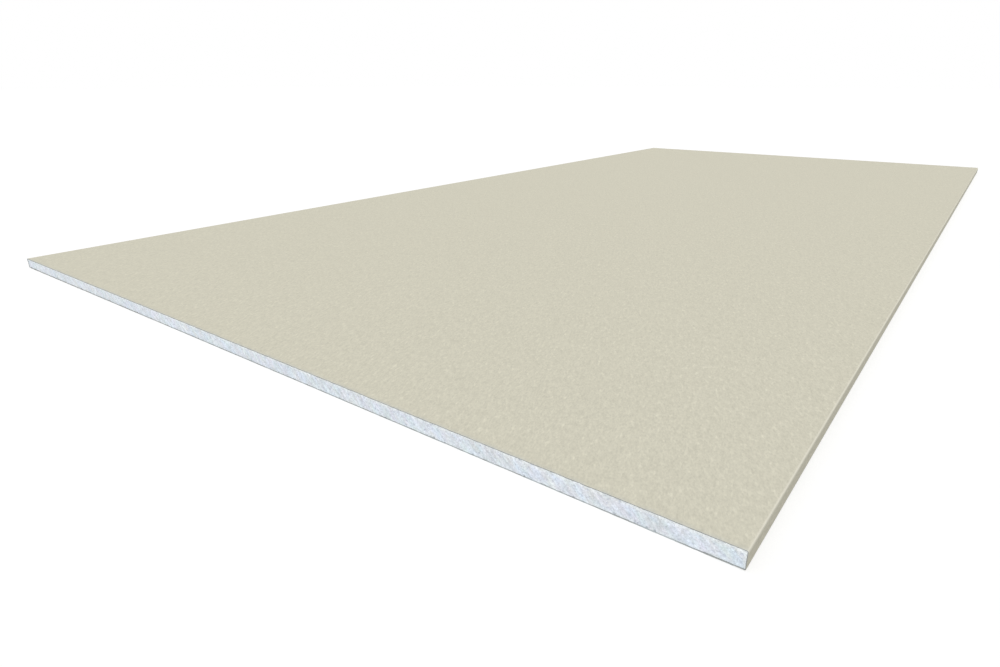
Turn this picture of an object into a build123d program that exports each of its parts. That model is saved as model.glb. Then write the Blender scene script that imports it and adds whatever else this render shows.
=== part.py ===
"""Square-edge gypsum board: a gypsum core in a face paper that wraps its long edges, with a liner on its back.

Millimetres. X runs across the sheet, Y along it and Z up through it. The sheet lies on its back,
with the origin under its middle, on the surface that it rests on.
"""

import os

from build123d import *

# The sheet as it is sold: 4 ft by 8 ft by 5/8 in
sheet_width = 1219.2
sheet_length = 2438.4
sheet_thickness = 15.9

# The two papers
face_paper_thickness = 0.4
back_paper_thickness = 0.4

# The long edges, where the face paper is folded round the core and turned under
core_edge_radius = 0.5
flap_width = 28.0
bare_flap_width = 8.0

# The section that the wrapped core fills, resting on the back paper
wrapped_height = sheet_thickness - back_paper_thickness
wrapped_edge_radius = core_edge_radius + face_paper_thickness
core_width = sheet_width - 2 * face_paper_thickness
core_height = wrapped_height - 2 * face_paper_thickness
core_bottom = back_paper_thickness + face_paper_thickness
width_between_flaps = sheet_width - 2 * flap_width
back_paper_width = sheet_width - 2 * bare_flap_width

on_its_base = (Align.CENTER, Align.MIN)

os.makedirs("parts", exist_ok=True)

# Gypsum core: rounded long edges, and a shallow tongue that fills the space between the paper's flaps
with BuildPart() as gypsum_core:
    with BuildSketch(Plane.XZ):
        with Locations((0, core_bottom)):
            RectangleRounded(core_width, core_height, core_edge_radius, align=on_its_base)
        with Locations((0, back_paper_thickness)):
            Rectangle(width_between_flaps, face_paper_thickness, align=on_its_base)
    extrude(amount=sheet_length / 2, both=True)

gypsum_core.part.label = "gypsum_core"
export_step(gypsum_core.part, "parts/gypsum_core.step")

# Face paper: one sheet over the face, round both long edges and turned under as two flaps
with BuildPart() as face_paper:
    with BuildSketch(Plane.XZ):
        with Locations((0, back_paper_thickness)):
            RectangleRounded(sheet_width, wrapped_height, wrapped_edge_radius, align=on_its_base)
        with Locations((0, core_bottom)):
            RectangleRounded(core_width, core_height, core_edge_radius, align=on_its_base, mode=Mode.SUBTRACT)
        with Locations((0, back_paper_thickness)):
            Rectangle(width_between_flaps, face_paper_thickness, align=on_its_base, mode=Mode.SUBTRACT)
    extrude(amount=sheet_length / 2, both=True)

face_paper.part.label = "face_paper"
export_step(face_paper.part, "parts/face_paper.step")

# Back paper: a flat liner on the core that laps over the flaps and stops short of the long edges
with BuildPart() as back_paper:
    with BuildSketch(Plane.XZ):
        Rectangle(back_paper_width, back_paper_thickness, align=on_its_base)
    extrude(amount=sheet_length / 2, both=True)

back_paper.part.label = "back_paper"
export_step(back_paper.part, "parts/back_paper.step")
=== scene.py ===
import math

import bpy
import numpy as np
from mathutils import Matrix, Vector


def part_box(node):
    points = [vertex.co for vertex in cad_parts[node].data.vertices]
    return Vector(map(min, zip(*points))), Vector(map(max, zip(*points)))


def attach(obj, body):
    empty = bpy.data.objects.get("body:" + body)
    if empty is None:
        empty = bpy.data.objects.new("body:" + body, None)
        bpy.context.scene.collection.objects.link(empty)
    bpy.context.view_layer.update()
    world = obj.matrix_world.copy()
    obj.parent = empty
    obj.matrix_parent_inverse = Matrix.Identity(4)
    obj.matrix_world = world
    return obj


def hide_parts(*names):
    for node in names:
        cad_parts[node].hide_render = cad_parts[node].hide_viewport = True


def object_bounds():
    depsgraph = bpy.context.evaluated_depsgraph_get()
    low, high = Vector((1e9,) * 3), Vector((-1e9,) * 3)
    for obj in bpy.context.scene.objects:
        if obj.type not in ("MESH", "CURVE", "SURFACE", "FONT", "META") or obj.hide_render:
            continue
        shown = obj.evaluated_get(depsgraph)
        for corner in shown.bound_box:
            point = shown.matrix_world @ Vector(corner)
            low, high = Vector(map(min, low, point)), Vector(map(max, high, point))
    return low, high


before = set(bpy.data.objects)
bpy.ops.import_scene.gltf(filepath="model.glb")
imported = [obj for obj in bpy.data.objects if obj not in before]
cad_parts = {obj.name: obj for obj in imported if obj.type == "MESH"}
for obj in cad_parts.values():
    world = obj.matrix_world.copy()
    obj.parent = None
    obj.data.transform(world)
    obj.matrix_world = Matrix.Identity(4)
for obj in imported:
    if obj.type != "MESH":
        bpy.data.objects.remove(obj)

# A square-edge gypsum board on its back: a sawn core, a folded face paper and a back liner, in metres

MM = 0.001

# The board's sizes, read from the solids

cad_low, cad_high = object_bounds()
core_low, core_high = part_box("gypsum_core")
wrap_low, wrap_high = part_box("face_paper")
liner_low, liner_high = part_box("back_paper")
level_tolerance = 0.01 * MM


def half_width_at(node, level):
    """How far a node's corners at one level reach from the middle of the board."""
    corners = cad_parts[node].data.vertices
    return max(abs(corner.co.x) for corner in corners if abs(corner.co.z - level) < level_tolerance)


half_length = cad_high.y
face_paper_thickness = wrap_high.z - core_high.z
core_edge_radius = core_high.x - half_width_at("gypsum_core", core_high.z)
half_flat_width = core_high.x - core_edge_radius
half_between_flaps = half_width_at("gypsum_core", core_low.z)
core_block_low = wrap_low.z + face_paper_thickness


# Smooth noise and mesh helpers

def lump_noise(u, v, seed):
    """Smooth noise from -1 to 1 over a plane, with one lump to each unit square."""
    u = u - np.min(u)
    v = v - np.min(v)
    cell_u = np.floor(u).astype(int)
    cell_v = np.floor(v).astype(int)
    lumps = np.random.default_rng(seed).uniform(-1, 1, (cell_u.max() + 2, cell_v.max() + 2))
    part_u = u - cell_u
    part_v = v - cell_v
    part_u = part_u * part_u * (3 - 2 * part_u)
    part_v = part_v * part_v * (3 - 2 * part_v)
    near = lumps[cell_u, cell_v] * (1 - part_v) + lumps[cell_u, cell_v + 1] * part_v
    far = lumps[cell_u + 1, cell_v] * (1 - part_v) + lumps[cell_u + 1, cell_v + 1] * part_v
    return near * (1 - part_u) + far * part_u


def ragged(along, mean, ripples, seed):
    """A wavering amount along an edge: a mean and a few ripples, each with its height and length."""
    amount = np.full(along.shape, float(mean))
    for step, (height, length) in enumerate(ripples):
        amount += height * lump_noise(along / length, np.zeros_like(along), seed + step)
    return amount


def fade(distance, start, end):
    """1 up to a start, 0 past an end, and a straight slope between them."""
    return np.clip((end - distance) / (end - start), 0, 1)


def make_piece(name, points, faces, materials, material_of_face, smooth_faces):
    """A mesh object from arrays of points and four-cornered faces."""
    mesh = bpy.data.meshes.new(name)
    mesh.from_pydata(points.tolist(), [], faces.tolist())
    for material in materials:
        mesh.materials.append(material)
    mesh.polygons.foreach_set("material_index", np.asarray(material_of_face, np.int32))
    mesh.polygons.foreach_set("use_smooth", np.asarray(smooth_faces, bool))
    mesh.update()
    piece = bpy.data.objects.new(name, mesh)
    bpy.context.scene.collection.objects.link(piece)
    return piece


def paint(piece, name, values):
    """Keeps one value for each point of a piece, for its material to read."""
    values = np.asarray(values, np.float32)
    piece.data.attributes.new(name, "FLOAT", "POINT").data.foreach_set("value", values)


def grid_faces(index, flip=False):
    """The faces of a grid of point numbers."""
    a, b, c, d = index[:-1, :-1], index[1:, :-1], index[1:, 1:], index[:-1, 1:]
    corners = (a, d, c, b) if flip else (a, b, c, d)
    return np.stack([corner.ravel() for corner in corners], 1)


# Material helpers

mix_first_colour, mix_second_colour, mix_colour_result = 6, 7, 2
noise_middle = 0.5
matt_specular = 0.06


def tune(node, **values):
    """Sets a node's own settings, and its unlinked inputs by name."""
    for name, value in values.items():
        if hasattr(node, name):
            setattr(node, name, value)
        else:
            node.inputs[name.replace("_", " ").title()].default_value = value
    return node


class NodeSheet:
    """A node tree with short calls that add a node and give its output."""

    def __init__(self, tree):
        self.tree = tree

    def add(self, kind, **values):
        """A new node with its settings."""
        return tune(self.tree.nodes.new("ShaderNode" + kind), **values)

    def feed(self, socket, value):
        """Links a socket to another one, or sets it to a plain value."""
        if isinstance(value, bpy.types.NodeSocket):
            self.tree.links.new(value, socket)
        else:
            socket.default_value = value

    def math(self, operation, first, second):
        """A sum, product or the like of two values."""
        node = self.add("Math", operation=operation)
        self.feed(node.inputs[0], first)
        self.feed(node.inputs[1], second)
        return node.outputs[0]

    def noise(self, place, lumps, detail, roughness):
        """Noise from 0 to 1, with so many lumps to the metre."""
        node = self.add("TexNoise", scale=lumps, detail=detail, roughness=roughness)
        self.feed(node.inputs["Vector"], place)
        return node.outputs["Fac"]

    def drawn_out(self, place, turn, draw):
        """Places on a grid that is turned and then drawn out along its axes."""
        node = self.add("Mapping", vector_type="TEXTURE", rotation=turn, scale=draw)
        self.feed(node.inputs["Vector"], place)
        return node.outputs["Vector"]

    def swing(self, noise, amount):
        """A noise moved to swing about nothing, by an amount."""
        return self.math("MULTIPLY", self.math("SUBTRACT", noise, noise_middle), amount)

    def span(self, value, low, high, to_low=0, to_high=1):
        """A value's range carried over to another range."""
        node = self.add("MapRange", from_min=low, from_max=high, to_min=to_low, to_max=to_high)
        self.feed(node.inputs["Value"], value)
        return node.outputs["Result"]

    def shaded(self, colour, level):
        """A colour made lighter or darker by a level."""
        node = self.add("VectorMath", operation="SCALE")
        self.feed(node.inputs[0], colour)
        self.feed(node.inputs["Scale"], level)
        return node.outputs[0]

    def blend(self, share, first, second):
        """Two colours mixed, with a share of the second."""
        node = self.add("Mix", data_type="RGBA")
        self.feed(node.inputs["Factor"], share)
        self.feed(node.inputs[mix_first_colour], first)
        self.feed(node.inputs[mix_second_colour], second)
        return node.outputs[mix_colour_result]

    def painted(self, name):
        """A value that was painted on the piece's points."""
        return self.add("Attribute", attribute_name=name).outputs["Fac"]

    def relief(self, height, strength, distance):
        """A normal that shows a height as fine relief."""
        node = self.add("Bump", strength=strength, distance=distance)
        self.feed(node.inputs["Height"], height)
        return node.outputs["Normal"]


def new_material(name):
    """A new material, its node sheet and its one surface shader."""
    material = bpy.data.materials.new(name)
    material.use_nodes = True
    return material, NodeSheet(material.node_tree), material.node_tree.nodes["Principled BSDF"]


# Paper: lumps to the metre, and how far they are drawn out along the lie of the pulp

pulp_lie = (0, 0, math.radians(24))
grain_lumps, grain_draw = 720, (1, 2.2, 1)
fibre_lumps, fibre_draw = 260, (1, 2.8, 1)
cloud_lumps, cloud_draw = 95, (1, 3.0, 1)
fleck_lumps, fleck_draw, fleck_range = 330, (1, 2.8, 1), (0.58, 0.78)
speck_lumps, speck_range = 520, (0.69, 0.76)
grain_range, paper_roughness = (0.3, 0.7), (0.84, 0.97)
paper_relief_strength = 0.6

# Paper: colours, and how much each paper shows of the pulp and of its relief

face_colour = (0.626, 0.603, 0.495, 1)
# Pale colour round the right upper fold: scuffed paper, and a painted highlight that lifts the fold's shade
worn_and_lit_colour = (0.82, 0.795, 0.68, 1)
liner_colour = (0.40, 0.37, 0.31, 1)
# Dark grey of the raw paper edges: grey plies, darkened further as painted shade along the cuts
raw_grey_and_shade_colour = (0.28, 0.28, 0.268, 1)
# Grey the paper turns beside a cut: cut fibres, and also painted shade on the face paper and painted light on
# raw edges that lie in shade
fuzz_and_shading_colour = (0.48, 0.515, 0.52, 1)
face_pulp = {"Grain": 0.40, "Fibres": 0.16, "Clouds": 0.02, "Flecks": 0.11, "Specks": 0.02}
liner_pulp = {"Grain": 0.55, "Fibres": 0.50, "Clouds": 0.35, "Flecks": 0.1, "Specks": 0.2}
raw_pulp = {"Grain": 0.6, "Fibres": 0.3, "Clouds": 0.1, "Flecks": 0.0, "Specks": 0.2}
face_relief, liner_relief, raw_relief = 0.05 * MM, 0.08 * MM, 0.1 * MM


def pulp_effect():
    """Shared paper effect: grain, fibres, clouds and pale flecks that lie with the pulp, and dark specks."""
    group = bpy.data.node_groups.new("paper_pulp", "ShaderNodeTree")
    sockets = group.interface
    sockets.new_socket("Colour", in_out="INPUT", socket_type="NodeSocketColor")
    for name in ("Grain", "Fibres", "Clouds", "Flecks", "Specks"):
        sockets.new_socket(name, in_out="INPUT", socket_type="NodeSocketFloat")
    sockets.new_socket("Colour", in_out="OUTPUT", socket_type="NodeSocketColor")
    sockets.new_socket("Roughness", in_out="OUTPUT", socket_type="NodeSocketFloat")
    sockets.new_socket("Height", in_out="OUTPUT", socket_type="NodeSocketFloat")
    sheet = NodeSheet(group)
    given = group.nodes.new("NodeGroupInput").outputs
    result = group.nodes.new("NodeGroupOutput").inputs
    place = sheet.add("TexCoord").outputs["Object"]
    grain_place = sheet.drawn_out(place, pulp_lie, grain_draw)
    fibre_place = sheet.drawn_out(place, pulp_lie, fibre_draw)
    cloud_place = sheet.drawn_out(place, pulp_lie, cloud_draw)
    fleck_place = sheet.drawn_out(place, pulp_lie, fleck_draw)
    grain = sheet.noise(grain_place, grain_lumps, detail=2, roughness=0.6)
    fibres = sheet.noise(fibre_place, fibre_lumps, detail=1, roughness=0.6)
    clouds = sheet.noise(cloud_place, cloud_lumps, detail=1, roughness=0.6)
    flecks = sheet.span(sheet.noise(fleck_place, fleck_lumps, detail=1, roughness=0.5), *fleck_range)
    specks = sheet.span(sheet.noise(place, speck_lumps, detail=2, roughness=0.5), *speck_range)
    level = sheet.math("ADD", 1.0, sheet.swing(grain, given["Grain"]))
    level = sheet.math("ADD", level, sheet.swing(fibres, given["Fibres"]))
    level = sheet.math("ADD", level, sheet.swing(clouds, given["Clouds"]))
    level = sheet.math("ADD", level, sheet.math("MULTIPLY", flecks, given["Flecks"]))
    level = sheet.math("SUBTRACT", level, sheet.math("MULTIPLY", specks, given["Specks"]))
    sheet.feed(result["Colour"], sheet.shaded(given["Colour"], level))
    sheet.feed(result["Roughness"], sheet.span(grain, *grain_range, *paper_roughness))
    sheet.feed(result["Height"], sheet.math("ADD", grain, fibres))
    return group


def paper_material(name, pulp, colour, worn_and_lit, pulp_amounts, relief):
    """Uncoated paper: matt, with the shared pulp effect, paler round a fold as scuffed paper and a painted
    highlight, and turned grey beside a cut as cut fibres, painted shade and painted light.
    """
    material, sheet, shader = new_material(name)
    effect = sheet.add("Group", node_tree=pulp)
    effect.inputs["Colour"].default_value = colour
    for socket, amount in pulp_amounts.items():
        effect.inputs[socket].default_value = amount
    # Paler round the right upper fold: scuffed paper and a painted highlight
    folded_and_lit = sheet.blend(sheet.painted("fold_wear_and_highlight"), effect.outputs["Colour"], worn_and_lit)
    # Grey beside a cut: cut fibres, painted shade that widens the dark line along the cut, and painted light
    # that lifts raw edges in shade
    greyed_and_shaded = sheet.blend(sheet.painted("cut_fuzz_and_shading"), folded_and_lit, fuzz_and_shading_colour)
    sheet.feed(shader.inputs["Base Color"], greyed_and_shaded)
    sheet.feed(shader.inputs["Roughness"], effect.outputs["Roughness"])
    sheet.feed(shader.inputs["Normal"], sheet.relief(effect.outputs["Height"], paper_relief_strength, relief))
    shader.inputs["Specular IOR Level"].default_value = matt_specular
    return material


# Sawn gypsum: its tints, and the lumps to the metre and the swing of its lights and darks

chalk_rosy = (0.783, 0.769, 0.828, 1)
chalk_cyan = (0.675, 0.798, 0.858, 1)
chalk_blue = (0.723, 0.777, 0.913, 1)
chalk_grey = (0.735, 0.789, 0.767, 1)
# Whiter gypsum by the papers: a denser skin, and a painted highlight that lifts the shade under the paper
chalk_dense_and_lit = (0.870, 0.900, 0.895, 1)
# Grey-lavender painted shade for the pits
chalk_hollow_shade = (0.560, 0.595, 0.680, 1)
cool_share = 0.5
streak_angle = math.radians(-45)
warmth_lumps, blueness_lumps, tint_draw, tint_range = 135, 105, (2.2, 1, 1), (0.35, 0.65)
crumb_lumps, crumb_swing = 680, 0.98
streak_lumps, streak_draw, streak_swing = 330, (4, 1, 1), 0.42
patch_lumps, patch_swing = 60, 0.2
pore_lumps, pore_strength, pore_relief = 1500, 0.7, 0.15 * MM
gypsum_roughness = 0.95


def gypsum_material():
    """Sawn gypsum: chalky blue-white in clouds of tint, whiter by the paper as a denser skin and a painted
    highlight, and greyer in hollows as painted shade.
    """
    material, sheet, shader = new_material("sawn_gypsum")
    place = sheet.add("TexCoord").outputs["Object"]
    tint_place = sheet.drawn_out(place, (0, -streak_angle, 0), tint_draw)
    streak_place = sheet.drawn_out(place, (0, -streak_angle, 0), streak_draw)
    warmth = sheet.span(sheet.noise(tint_place, warmth_lumps, detail=2, roughness=0.6), *tint_range)
    blueness = sheet.span(sheet.noise(tint_place, blueness_lumps, detail=2, roughness=0.6), *tint_range)
    warm = sheet.blend(warmth, chalk_cyan, chalk_rosy)
    cool = sheet.blend(blueness, chalk_grey, chalk_blue)
    chalk = sheet.blend(cool_share, warm, cool)
    # Whiter by the papers: denser gypsum and a painted highlight
    chalk = sheet.blend(sheet.painted("dense_and_lit"), chalk, chalk_dense_and_lit)
    crumbs = sheet.noise(place, crumb_lumps, detail=2, roughness=0.85)
    streaks = sheet.noise(streak_place, streak_lumps, detail=1, roughness=0.5)
    patches = sheet.noise(place, patch_lumps, detail=1, roughness=0.5)
    level = sheet.math("ADD", 1.0, sheet.swing(crumbs, crumb_swing))
    level = sheet.math("ADD", level, sheet.swing(streaks, streak_swing))
    level = sheet.math("ADD", level, sheet.swing(patches, patch_swing))
    chalk = sheet.shaded(chalk, level)
    # Painted shade: greyer where the sawn surface lies deeper
    chalk = sheet.blend(sheet.painted("hollow_shade"), chalk, chalk_hollow_shade)
    pores = sheet.noise(place, pore_lumps, detail=3, roughness=0.6)
    sheet.feed(shader.inputs["Base Color"], chalk)
    sheet.feed(shader.inputs["Normal"], sheet.relief(pores, pore_strength, pore_relief))
    shader.inputs["Roughness"].default_value = gypsum_roughness
    shader.inputs["Specular IOR Level"].default_value = matt_specular
    return material


# The core's sawn ends: depths behind the cut plane, and distances in from the core's outline

edge_steps = 6
column_pitch = 0.75 * MM
row_pitch = 0.75 * MM
rim_rows = (0.0, 0.25 * MM, 0.6 * MM, 1.1 * MM)
sound_depth = 3.0 * MM
cut_depth = 0.75 * MM
least_depth = 0.45 * MM
most_depth = 2.0 * MM
saw_lumps = (
    (0.08 * MM, 45 * MM, 12 * MM),
    (0.08 * MM, 6.5 * MM, 2.6 * MM),
    (0.09 * MM, 3.2 * MM, 1.5 * MM),
    (0.09 * MM, 1.3 * MM, 1.1 * MM),
)
pit_count = 2200
pit_radius, pit_spread, pit_limit = 0.40 * MM, 0.22 * MM, 1.1 * MM
pit_depth_share = 0.6
# Depths behind the cut plane over which the pits turn to painted shade
hollow_shade_range = (0.95 * MM, 1.55 * MM)
crumble_mean, crumble_ripples = 0.15 * MM, ((0.12 * MM, 5 * MM), (0.12 * MM, 1.6 * MM))
crumble_range = (0.3 * MM, 1.0 * MM)
upper_rim_mean, upper_rim_ripples = 0.16 * MM, ((0.12 * MM, 4 * MM),)
lower_rim_mean, lower_rim_ripples = 0.06 * MM, ((0.05 * MM, 4 * MM),)
side_rim = 0.15 * MM
# Where the gypsum is whitened by the papers: denser gypsum, and a painted highlight that lifts the shade
# under the paper's edge
dense_lit_top_range = (1.6 * MM, 4.0 * MM)
dense_lit_side_range = (1.0 * MM, 2.6 * MM)
dense_lit_bottom_range, dense_lit_bottom_share = (1.0 * MM, 2.6 * MM), 0.35
dense_left_share = 0.25
dense_patch, dense_swing = 6 * MM, 0.2
near_end_seed, far_end_seed = 100, 200
pit_seed, crumble_seed, lower_rim_seed, upper_rim_seed, dense_seed = 10, 20, 30, 40, 50


def core_top(x):
    """The upper outline of the core's section."""
    over = np.maximum(np.abs(x) - half_flat_width, 0)
    return core_high.z - core_edge_radius + np.sqrt(np.maximum(core_edge_radius**2 - over**2, 0))


def core_bottom(x):
    """The lower outline of the core's section, with the tongue between the paper's flaps."""
    over = np.maximum(np.abs(x) - half_flat_width, 0)
    block = core_block_low + core_edge_radius - np.sqrt(np.maximum(core_edge_radius**2 - over**2, 0))
    return np.where(np.abs(x) < half_between_flaps, core_low.z, block)


def core_columns():
    """Places across the core, close together round its edges."""
    flat = np.linspace(-half_flat_width, half_flat_width, round(2 * half_flat_width / column_pitch) + 1)
    turn = np.linspace(0, math.pi / 2, edge_steps + 1)[1:]
    right = half_flat_width + core_edge_radius * np.sin(turn)
    return np.concatenate([-right[::-1], flat, right])


def core_rows():
    """Places up the core as shares of its height, close together along its rims."""
    height = core_high.z - core_low.z
    middle_rows = round((height - 2 * rim_rows[-1]) / row_pitch)
    middle = np.linspace(rim_rows[-1], height - rim_rows[-1], middle_rows + 1)
    rims = np.array(rim_rows[:-1])
    return np.concatenate([rims, middle, height - rims[::-1]]) / height


def sawn_depth(x, z, below_top, seed):
    """How far the sawn surface lies behind the cut plane: saw marks, pits and a crumbled upper rim."""
    along = x * math.cos(streak_angle) + z * math.sin(streak_angle)
    across = z * math.cos(streak_angle) - x * math.sin(streak_angle)
    depth = np.full_like(x, cut_depth)
    for step, (height, length, width) in enumerate(saw_lumps):
        depth += height * lump_noise(along / length, across / width, seed + step)
    draw = np.random.default_rng(seed + pit_seed)
    columns = x[:, 0]
    for _ in range(pit_count):
        radius = min(pit_radius + draw.exponential(pit_spread), pit_limit)
        middle_x = draw.uniform(columns[0], columns[-1])
        middle_z = draw.uniform(core_low.z, core_high.z)
        first, last = np.searchsorted(columns, (middle_x - radius, middle_x + radius))
        part = slice(first, last)
        off = ((x[part] - middle_x) ** 2 + (z[part] - middle_z) ** 2) / radius**2
        depth[part] += pit_depth_share * radius * np.sqrt(np.maximum(1 - off, 0))
    crumble = ragged(columns, crumble_mean, crumble_ripples, seed + crumble_seed)
    depth += crumble[:, None] * fade(below_top, *crumble_range)
    return np.clip(depth, least_depth, most_depth)


def dense_and_lit_share(x, z, below_top, seed):
    """How much the gypsum is whitened: by the papers, as denser gypsum and as a painted highlight that lifts
    the papers' shade, towards the board's left, and in patches.
    """
    dense_and_lit = np.maximum(fade(below_top, *dense_lit_top_range), fade(core_high.x - np.abs(x), *dense_lit_side_range))
    dense_and_lit = np.maximum(dense_and_lit, dense_lit_bottom_share * fade(z - core_low.z, *dense_lit_bottom_range))
    dense_and_lit = np.maximum(dense_and_lit, np.interp(x, (core_low.x, core_high.x), (dense_left_share, 0)))
    return dense_and_lit * (1 - dense_swing + dense_swing * lump_noise(x / dense_patch, z / dense_patch, seed))


def core_end(columns, rows, side, seed):
    """The grid of points on one sawn end, with the painted shade of the hollows at each point and how much
    the gypsum is whitened there.
    """
    low = core_bottom(columns) + ragged(columns, lower_rim_mean, lower_rim_ripples, seed + lower_rim_seed)
    high = core_top(columns) - ragged(columns, upper_rim_mean, upper_rim_ripples, seed + upper_rim_seed)
    z = low[:, None] + (high - low)[:, None] * rows
    x = np.repeat(columns[:, None] * (1 - side_rim / core_high.x), len(rows), 1)
    below_top = core_high.z - z
    depth = sawn_depth(x, z, below_top, seed)
    # Painted shade: the deeper the point, the greyer
    hollow_shade = 1 - fade(depth, *hollow_shade_range)
    dense_and_lit = dense_and_lit_share(x, z, below_top, seed + dense_seed)
    return np.stack([x, side * (half_length - depth), z], -1), hollow_shade, dense_and_lit


def core_section(columns, rows, y):
    """The same grid as an end's, on the core's true section at y."""
    low = core_bottom(columns)
    high = core_top(columns)
    z = low[:, None] + (high - low)[:, None] * rows
    x = np.repeat(columns[:, None], len(rows), 1)
    return np.stack([x, np.full_like(x, y), z], -1)


def round_the_rim(grid):
    """A grid's border as one ring."""
    return np.concatenate([grid[:, 0], grid[-1, 1:], grid[-2::-1, -1], grid[0, -2:0:-1]])


def make_core():
    """The gypsum core: two sawn ends, and plain walls between them on the true section."""
    columns, rows = core_columns(), core_rows()
    near, near_hollow_shade, near_dense_and_lit = core_end(columns, rows, -1, near_end_seed)
    far, far_hollow_shade, far_dense_and_lit = core_end(columns, rows, 1, far_end_seed)
    sound = half_length - sound_depth
    rings = [round_the_rim(core_section(columns, rows, y)) for y in (-sound, sound)]
    count = len(columns) * len(rows)
    near_index = np.arange(count).reshape(len(columns), len(rows))
    far_index = near_index + count
    ring_index = 2 * count + np.arange(2 * len(rings[0])).reshape(2, -1)
    loops = np.stack([round_the_rim(near_index), ring_index[0], ring_index[1], round_the_rim(far_index)])
    loops = np.concatenate([loops, loops[:, :1]], 1)
    ends = np.concatenate([grid_faces(near_index), grid_faces(far_index, flip=True)])
    walls = grid_faces(loops)
    points = np.concatenate([near.reshape(-1, 3), far.reshape(-1, 3), *rings])
    faces = np.concatenate([ends, walls])
    smooth = np.arange(len(faces)) < len(ends)
    piece = make_piece("sawn_core", points, faces, [gypsum_material()], np.zeros(len(faces)), smooth)
    on_rings = np.zeros(2 * len(rings[0]))
    paint(piece, "hollow_shade", np.concatenate([near_hollow_shade.ravel(), far_hollow_shade.ravel(), on_rings]))
    paint(piece, "dense_and_lit", np.concatenate([near_dense_and_lit.ravel(), far_dense_and_lit.ravel(), on_rings]))
    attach(piece, "root")
    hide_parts("gypsum_core")


# The papers: a pair of ends is the amount at the board's left and at its right

paper_pitch = 0.8 * MM
end_stations = (0.0, 0.4 * MM, 1.0 * MM, 2.2 * MM, 5.0 * MM)
inner_stations = 9
fray_reach = end_stations[-2]
fray_mean, fray_ripples = 0.14 * MM, ((0.10 * MM, 9 * MM), (0.10 * MM, 2.4 * MM))
droop_mean, droop_ripples = 0.08 * MM, ((0.08 * MM, 6 * MM),)
droop_reach = 0.8 * MM
face_burr_ends = (0.62 * MM, 0.12 * MM)
liner_burr_ends = (0.80 * MM, 0.0)
burr_ripples = ((0.14 * MM, 5 * MM), (0.14 * MM, 1.9 * MM))
burr_start, burr_limit = 4 * MM, 1.0 * MM
# How grey the paper turns beside each cut: cut fibres, plus painted shade on the face paper and painted light
# on the left wall's raw edge and the liner's right end, which lie in shade
face_fuzz_and_shading_ends = (0.33, 0.33)
liner_fuzz_and_shading_ends = (0.0, 0.95)
left_wall_fuzz_and_shading, right_wall_fuzz_and_shading = 1.0, 0.1
fuzz_and_shading_reach = 3.5 * MM
fuzz_and_shading_ripples = ((0.6, 7 * MM),)
# How strongly, how far and how narrowly the right upper fold is paled: scuffed paper and a painted highlight
wear_and_highlight_share, wear_and_highlight_reach, wear_and_highlight_narrowing = 0.9, 3.0 * MM, 1.8
face_seed, liner_seed = 300, 400
droop_seed, burr_seed, fuzz_and_shading_seed, far_cut_seed = 4, 6, 8, 10


def run(start, end):
    """Evenly spaced points from start up to, but without, end."""
    start, end = np.array(start), np.array(end)
    steps = max(round(np.linalg.norm(end - start) / paper_pitch), 1)
    return start + (end - start) * np.linspace(0, 1, steps + 1)[:-1, None]


def bend(middle, radius, start, end):
    """Points round a fold, from one angle up to, but without, another."""
    turn = np.linspace(start, end, edge_steps + 1)[:-1]
    return np.stack([middle[0] + radius * np.cos(turn), middle[1] + radius * np.sin(turn)], 1)


def wrap_path(offset):
    """The face paper's line round the core, from right flap to left flap, at a distance from the core."""
    quarter = math.pi / 2
    upper = (half_flat_width, core_high.z - core_edge_radius)
    lower = (half_flat_width, core_block_low + core_edge_radius)
    radius = core_edge_radius + offset
    top, bottom = core_high.z + offset, core_block_low - offset
    side = core_high.x + offset
    right = np.concatenate([
        run((0, top), (half_flat_width, top)),
        bend(upper, radius, quarter, 0),
        run((side, upper[1]), (side, lower[1])),
        bend(lower, radius, 0, -quarter),
        run((half_flat_width, bottom), (half_between_flaps, bottom)),
        [(half_between_flaps, bottom)],
    ])
    return np.concatenate([right[::-1], right[1:] * (-1, 1)])


def liner_path(level):
    """The back liner's line, from edge to edge."""
    return np.concatenate([run((-liner_high.x, level), (liner_high.x, level)), [(liner_high.x, level)]])


def fold_wear_and_highlight(path):
    """How much the paper is paled round the upper fold on the right, at each point of its line: scuffed
    paper, and a painted highlight that lifts the fold's shade.
    """
    fold = (wrap_high.x, core_high.z - core_edge_radius)
    across = wear_and_highlight_narrowing * (path[:, 0] - fold[0])
    return wear_and_highlight_share * fade(np.hypot(across, path[:, 1] - fold[1]), 0, wear_and_highlight_reach)


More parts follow.
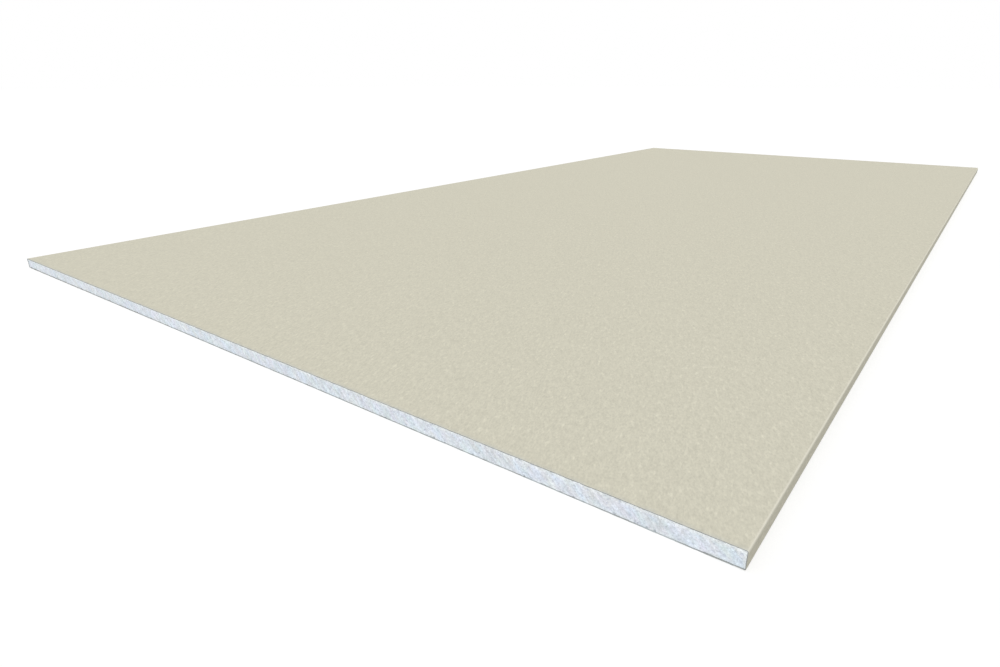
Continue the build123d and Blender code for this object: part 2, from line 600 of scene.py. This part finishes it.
def sawn_stations(across, along, end, burr_ends, fuzz_and_shading_ends, seed):
    """The paper's cross lines from a cut inwards: each one's place, bend, bend inside and share of grey,
    which is cut fibres with painted shade and painted light.
    """
    fray = np.maximum(ragged(along, fray_mean, fray_ripples, seed), 0)
    droop = np.maximum(ragged(along, droop_mean, droop_ripples, seed + droop_seed), 0)
    places = (-wrap_high.x, burr_start - wrap_high.x, wrap_high.x)
    left, right = burr_ends
    torn = np.interp(across, places, (right, left, right))
    burr = np.clip(torn + ragged(along, 0, burr_ripples, seed + burr_seed), 0, burr_limit)
    # The share of grey: cut fibres, with painted shade and painted light set for each end and each wall
    rubbed_and_shaded = np.interp(across, (wrap_low.x, wrap_high.x), fuzz_and_shading_ends)
    rubbed_and_shaded = rubbed_and_shaded * ragged(along, 1, fuzz_and_shading_ripples, seed + fuzz_and_shading_seed)
    rubbed_and_shaded = np.where(across < -half_flat_width, left_wall_fuzz_and_shading, rubbed_and_shaded)
    rubbed_and_shaded = np.where(across > half_flat_width, right_wall_fuzz_and_shading, rubbed_and_shaded)
    lines = []
    for station in end_stations:
        held = max(1 - station / fray_reach, 0)
        bent = droop * math.exp(-station / droop_reach)
        curl = burr if station == 0 else 0
        fuzz_and_shading = rubbed_and_shaded * fade(station, 0, fuzz_and_shading_reach)
        lines.append((end * (half_length - station - fray * held), bent, bent + curl, fuzz_and_shading))
    return lines


def make_paper(name, node, outer, inner, materials, wear_and_highlight, burr_ends, fuzz_and_shading_ends, seed):
    """A paper along the board, with a surface, a raw inner side and ragged sawn ends."""
    along = np.concatenate([[0], np.cumsum(np.linalg.norm(np.diff(outer, axis=0), axis=1))])
    inward = (inner - outer) / np.linalg.norm(inner - outer, axis=1)[:, None]
    plain = np.zeros_like(along)
    between = np.linspace(-half_length, half_length, inner_stations + 2)[1:-1]
    across = outer[:, 0]
    lines = sawn_stations(across, along, -1, burr_ends, fuzz_and_shading_ends, seed)
    lines += [(plain + y, plain, plain, plain) for y in between]
    lines += sawn_stations(across, along, 1, burr_ends, fuzz_and_shading_ends, seed + far_cut_seed)[::-1]
    outer_points, inner_points = [], []
    for y, bent, bent_inside, _ in lines:
        above = outer + inward * bent[:, None]
        below = inner + inward * bent_inside[:, None]
        outer_points.append(np.stack([above[:, 0], y, above[:, 1]], 1))
        inner_points.append(np.stack([below[:, 0], y, below[:, 1]], 1))
    shape = (len(lines), len(along))
    outside = np.arange(shape[0] * shape[1]).reshape(shape)
    inside = outside + outside.size
    ends = [np.stack([inside[0], outside[0]]), np.stack([outside[-1], inside[-1]])]
    edges = [np.stack([outside[:, 0], inside[:, 0]]), np.stack([inside[:, -1], outside[:, -1]])]
    surface = grid_faces(outside)
    raw = [grid_faces(inside, flip=True)] + [grid_faces(strip) for strip in ends + edges]
    faces = np.concatenate([surface, *raw])
    points = np.concatenate(outer_points + inner_points)
    is_surface = np.arange(len(faces)) < len(surface)
    piece = make_piece(name, points, faces, materials, np.where(is_surface, 0, 1), is_surface)
    fuzz_and_shading = np.concatenate([rubbed_and_shaded for _, _, _, rubbed_and_shaded in lines])
    paint(piece, "cut_fuzz_and_shading", np.concatenate([fuzz_and_shading, fuzz_and_shading]))
    paint(piece, "fold_wear_and_highlight", np.tile(wear_and_highlight, 2 * len(lines)))
    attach(piece, "root")
    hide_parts(node)


def dress_board():
    """The core, the face paper and the back liner, each in place of its solid."""
    pulp = pulp_effect()
    face = paper_material("face_paper", pulp, face_colour, worn_and_lit_colour, face_pulp, face_relief)
    back = paper_material("back_paper", pulp, liner_colour, liner_colour, liner_pulp, liner_relief)
    raw = paper_material("raw_paper_edge", pulp, raw_grey_and_shade_colour, raw_grey_and_shade_colour, raw_pulp, raw_relief)
    make_core()
    wrap, wrap_inside = wrap_path(face_paper_thickness), wrap_path(0.0)
    make_paper("face_wrap", "face_paper", wrap, wrap_inside, [face, raw], fold_wear_and_highlight(wrap),
               face_burr_ends, face_fuzz_and_shading_ends, face_seed)
    liner, liner_inside = liner_path(liner_low.z), liner_path(liner_high.z)
    make_paper("back_liner", "back_paper", liner, liner_inside, [back, raw], np.zeros(len(liner)),
               liner_burr_ends, liner_fuzz_and_shading_ends, liner_seed)


# The studio

floor_size = 60.0
floor_gap = 0.05 * MM
floor_bounce = 0.60
floor_white = 1.03
sky_fill = 0.65
sun_level = 0.35
sun_slope = (0.19, -0.94, 1.0)
sun_softness = math.radians(18)


def seen_directly(sheet):
    """A mask of the rays that show the background: from the camera, and by gloss or glass."""
    path = sheet.add("LightPath").outputs
    direct = sheet.math("MAXIMUM", path["Is Camera Ray"], path["Is Glossy Ray"])
    return sheet.math("MAXIMUM", direct, path["Is Transmission Ray"])


def make_world():
    """A background that is white to look at and gives a softer fill of light."""
    world = bpy.data.worlds.new("white_studio")
    world.use_nodes = True
    bpy.context.scene.world = world
    sheet = NodeSheet(world.node_tree)
    background = world.node_tree.nodes["Background"]
    background.inputs["Color"].default_value = (1, 1, 1, 1)
    sheet.feed(background.inputs["Strength"], sheet.math("MAXIMUM", seen_directly(sheet), sky_fill))


def make_sun():
    """One soft sun from the front, at a level set for a surface that lies flat."""
    lamp = bpy.data.lights.new("soft_sun", "SUN")
    toward = Vector(sun_slope)
    lamp.energy = sun_level * math.pi * toward.length
    lamp.angle = sun_softness
    sun = bpy.data.objects.new("soft_sun", lamp)
    sun.rotation_mode = "QUATERNION"
    sun.rotation_quaternion = toward.to_track_quat("Z", "Y")
    bpy.context.scene.collection.objects.link(sun)


def make_floor():
    """A pale floor just under the board, lifted to white where it is seen, with the board's shadow."""
    material, sheet, shader = new_material("white_floor")
    shader.inputs["Base Color"].default_value = (floor_bounce, floor_bounce, floor_bounce, 1)
    shader.inputs["Roughness"].default_value = 1.0
    shader.inputs["Specular IOR Level"].default_value = 0.0
    shader.inputs["Emission Color"].default_value = (1, 1, 1, 1)
    lift = sheet.math("MULTIPLY", seen_directly(sheet), floor_white - floor_bounce)
    sheet.feed(shader.inputs["Emission Strength"], lift)
    half = floor_size / 2
    points = np.array([(-half, -half, 0), (half, -half, 0), (half, half, 0), (-half, half, 0)])
    floor = make_piece("floor", points, np.array([[0, 1, 2, 3]]), [material], [0], [False])
    floor.location.z = cad_low.z - floor_gap


# The camera, at the photograph's place

picture_width = 1000
focal_pixels = 642.27
sensor_width = 36.0
camera_place = (0.68740, -1.57393, 0.29483)
camera_heading = math.radians(36.913)
camera_tilt = math.radians(21.407)
camera_roll = math.radians(-0.052)
camera_shift = -0.012


def make_camera():
    """The camera, turned by its heading, its tilt down and its roll."""
    lens = bpy.data.cameras.new("camera")
    lens.sensor_width = sensor_width
    lens.lens = sensor_width * focal_pixels / picture_width
    lens.shift_x = camera_shift
    ahead = Vector((
        -math.sin(camera_heading) * math.cos(camera_tilt),
        math.cos(camera_heading) * math.cos(camera_tilt),
        -math.sin(camera_tilt),
    ))
    level = Vector((math.cos(camera_heading), math.sin(camera_heading), 0))
    upright = level.cross(ahead)
    right = math.cos(camera_roll) * level + math.sin(camera_roll) * upright
    up = math.cos(camera_roll) * upright - math.sin(camera_roll) * level
    camera = bpy.data.objects.new("camera", lens)
    axes = Matrix((right, up, -ahead)).transposed()
    camera.matrix_world = Matrix.Translation(camera_place) @ axes.to_4x4()
    bpy.context.scene.collection.objects.link(camera)
    bpy.context.scene.camera = camera


bpy.context.scene.view_settings.view_transform = "Standard"
dress_board()
make_world()
make_sun()
make_floor()
make_camera()
